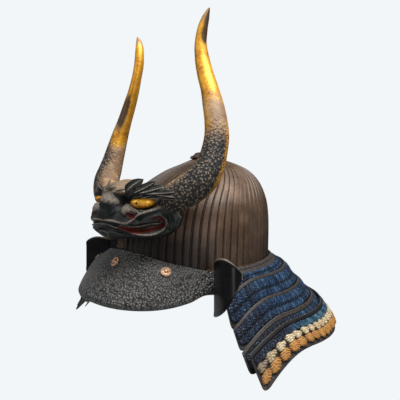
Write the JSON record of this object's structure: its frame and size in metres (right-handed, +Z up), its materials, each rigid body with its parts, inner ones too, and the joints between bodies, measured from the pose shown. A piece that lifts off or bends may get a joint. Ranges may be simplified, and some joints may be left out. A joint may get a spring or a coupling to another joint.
{
  "type": "samurai helmet",
  "caption": "Ridged bowl helmet with a peak, a horned demon mask crest, turned-back side wings and a flared neck guard of laced bands.",
  "frame": {"origin": "middle of the bowl's opening, at the height of the bowl's lower edge, where the head sits", "axes": "+Z up, towards the crown and the horns; -Y the helmet's front; +X the wearer's left"},
  "size_m": [0.464, 0.4414, 0.5042],
  "materials": {
    "russet_iron": "dull russet iron with dark joints",
    "pebbled_lacquer": "black lacquer over a pebbled ground",
    "gilt_copper": "worn gilt copper",
    "worn_lacquer": "black lacquer worn brown on the high edges",
    "gold_leaf": "gold leaf",
    "gilded_horn": "rough brown lacquer with gold leaf over the upper part",
    "gloss_lacquer": "polished black lacquer",
    "lame_lacquer": "brown black lacquer",
    "blue_lacing": "flat braided silk",
    "orange_cord": "twisted cord knots"
  },
  "bodies": {
    "root": {"bowl": "russet_iron", "rim_band": "russet_iron", "crown_ring": "gilt_copper", "visor": "pebbled_lacquer", "rivet_center": "gilt_copper", "rivet_left": "gilt_copper", "rivet_right": "gilt_copper", "crest_post": "russet_iron", "mask": "worn_lacquer", "eye_left": "gold_leaf", "eye_right": "gold_leaf", "brow_left": "worn_lacquer", "brow_right": "worn_lacquer", "horn_left": "gilded_horn", "horn_right": "gilded_horn", "wing_left": "gloss_lacquer", "wing_right": "gloss_lacquer", "lame_1": "lame_lacquer", "lacing_1": "blue_lacing", "lame_2": "lame_lacquer", "lacing_2": "blue_lacing", "lame_3": "lame_lacquer", "lacing_3": "blue_lacing", "lame_4": "lame_lacquer", "lacing_4": "blue_lacing", "lame_5": "lame_lacquer", "lacing_5": "blue_lacing", "knots_upper": "orange_cord", "knots_lower": "orange_cord"}
  },
  "joints": []
}
